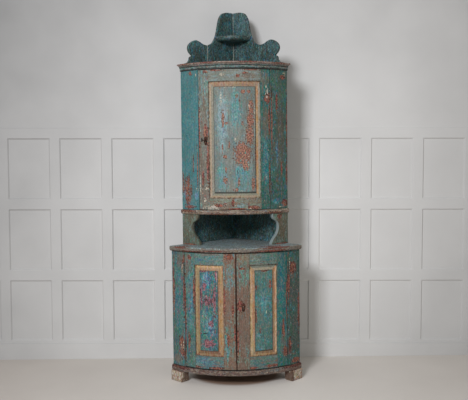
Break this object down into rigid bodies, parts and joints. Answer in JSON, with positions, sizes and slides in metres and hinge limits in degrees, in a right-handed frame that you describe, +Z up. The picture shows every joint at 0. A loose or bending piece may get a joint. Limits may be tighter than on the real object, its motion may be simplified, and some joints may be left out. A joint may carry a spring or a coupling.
{
  "type": "corner cupboard",
  "caption": "Tall bow-fronted corner cupboard in two cases: paired panelled doors below, open niche, one panelled door above, sawn crest with a small shelf.",
  "frame": {"origin": "on the floor, under the middle of the whole cupboard's box", "axes": "+X to the right as seen from the front, +Y to the back corner, +Z up; the bow faces -Y"},
  "size_m": [0.8104, 0.5729, 2.303],
  "materials": {
    "case_paint": "worn blue-green paint on pine",
    "door_paint": "worn grey-green paint on pine",
    "field_paint": "worn light blue paint with an ochre border",
    "crest_paint": "dark blue-green paint on pine",
    "inside_paint": "dark, matt paint on pine",
    "counter_paint": "worn blue-green paint with a bare, rubbed edge",
    "moulding_paint": "worn grey-green paint on moulded edges",
    "base_paint": "grey-brown, worn",
    "bare_wood": "bare, weathered pine",
    "iron": "dark, rusted wrought iron"
  },
  "bodies": {
    "case": {"foot_front_left": "bare_wood", "foot_front_right": "bare_wood", "foot_back": "bare_wood", "base_board": "base_paint", "lower_back_left": "inside_paint", "lower_back_right": "inside_paint", "lower_shelf": "inside_paint", "lower_stile_left": "case_paint", "lower_stile_right": "case_paint", "lower_left_bottom_hinge_case_leaf": "iron", "lower_left_top_hinge_case_leaf": "iron", "lower_right_bottom_hinge_case_leaf": "iron", "lower_right_top_hinge_case_leaf": "iron", "counter_top": "counter_paint", "upper_back_left_inner": "crest_paint", "upper_back_left_outer": "crest_paint", "upper_back_right_inner": "crest_paint", "upper_back_right_outer": "crest_paint", "upper_shelf_1": "inside_paint", "upper_shelf_2": "inside_paint", "waist_board": "moulding_paint", "upper_top_board": "inside_paint", "cornice": "moulding_paint", "niche_cheek_left": "case_paint", "upper_stile_left": "case_paint", "niche_cheek_right": "case_paint", "upper_stile_right": "case_paint", "upper_bottom_hinge_case_leaf": "iron", "upper_top_hinge_case_leaf": "iron", "crest_shelf": "crest_paint"},
    "upper_door": {"upper_door_lock_stile": "door_paint", "upper_door_hinge_stile": "door_paint", "upper_door_top_rail": "door_paint", "upper_door_bottom_rail": "door_paint", "upper_door_panel": "field_paint", "upper_lock_case": "iron", "upper_escutcheon": "iron", "upper_bottom_hinge_door_leaf": "iron", "upper_top_hinge_door_leaf": "iron"},
    "upper_key": {"upper_key": "iron"},
    "upper_lock_bolt": {"upper_lock_bolt": "iron"},
    "lower_left_door": {"lower_left_door_hinge_stile": "door_paint", "lower_left_door_meeting_stile": "door_paint", "lower_left_door_top_rail": "door_paint", "lower_left_door_bottom_rail": "door_paint", "lower_left_door_panel": "field_paint", "lower_left_door_bolt_plate": "iron", "lower_left_bottom_hinge_door_leaf": "iron", "lower_left_top_hinge_door_leaf": "iron"},
    "lower_left_door_bolt": {"lower_left_door_bolt": "iron"},
    "lower_right_door": {"lower_right_door_hinge_stile": "door_paint", "lower_right_door_meeting_stile": "door_paint", "lower_right_door_top_rail": "door_paint", "lower_right_door_bottom_rail": "door_paint", "lower_right_door_panel": "field_paint", "lower_lock_case": "iron", "lower_escutcheon": "iron", "lower_right_bottom_hinge_door_leaf": "iron", "lower_right_top_hinge_door_leaf": "iron"},
    "lower_lock_bolt": {"lower_lock_bolt": "iron"}
  },
  "joints": [
    {"name": "upper_door_swing", "type": "hinge", "parent": "case", "child": "upper_door", "pos_m": [0.21915, -0.12566, 1.47], "axis": [0, 0, 1], "range_deg": [0, 110]},
    {"name": "upper_key_turn", "type": "hinge", "parent": "upper_door", "child": "upper_key", "pos_m": [-0.17305, -0.14187, 1.47], "axis": [-0.3746, -0.9272, 0], "range_deg": [0, 180]},
    {"name": "upper_lock_bolt_slide", "type": "slide", "parent": "upper_door", "child": "upper_lock_bolt", "axis": [-0.9272, 0.3746, 0], "range_m": [0, 0.014]},
    {"name": "lower_left_door_swing", "type": "hinge", "parent": "case", "child": "lower_left_door", "pos_m": [-0.31409, -0.17567, 0.448], "axis": [0, 0, -1], "range_deg": [0, 110]},
    {"name": "lower_left_door_bolt_slide", "type": "slide", "parent": "lower_left_door", "child": "lower_left_door_bolt", "axis": [0, 0, 1], "range_m": [0, 0.014]},
    {"name": "lower_right_door_swing", "type": "hinge", "parent": "case", "child": "lower_right_door", "pos_m": [0.31409, -0.17567, 0.448], "axis": [0, 0, 1], "range_deg": [0, 110]},
    {"name": "lower_lock_bolt_slide", "type": "slide", "parent": "lower_right_door", "child": "lower_lock_bolt", "axis": [-0.997, -0.0775, 0], "range_m": [0, 0.014]}
  ],
  "couplings": [
    {"joint": "upper_key_turn", "follows": "upper_lock_bolt_slide", "rad_per_m": 224.4}
  ]
}
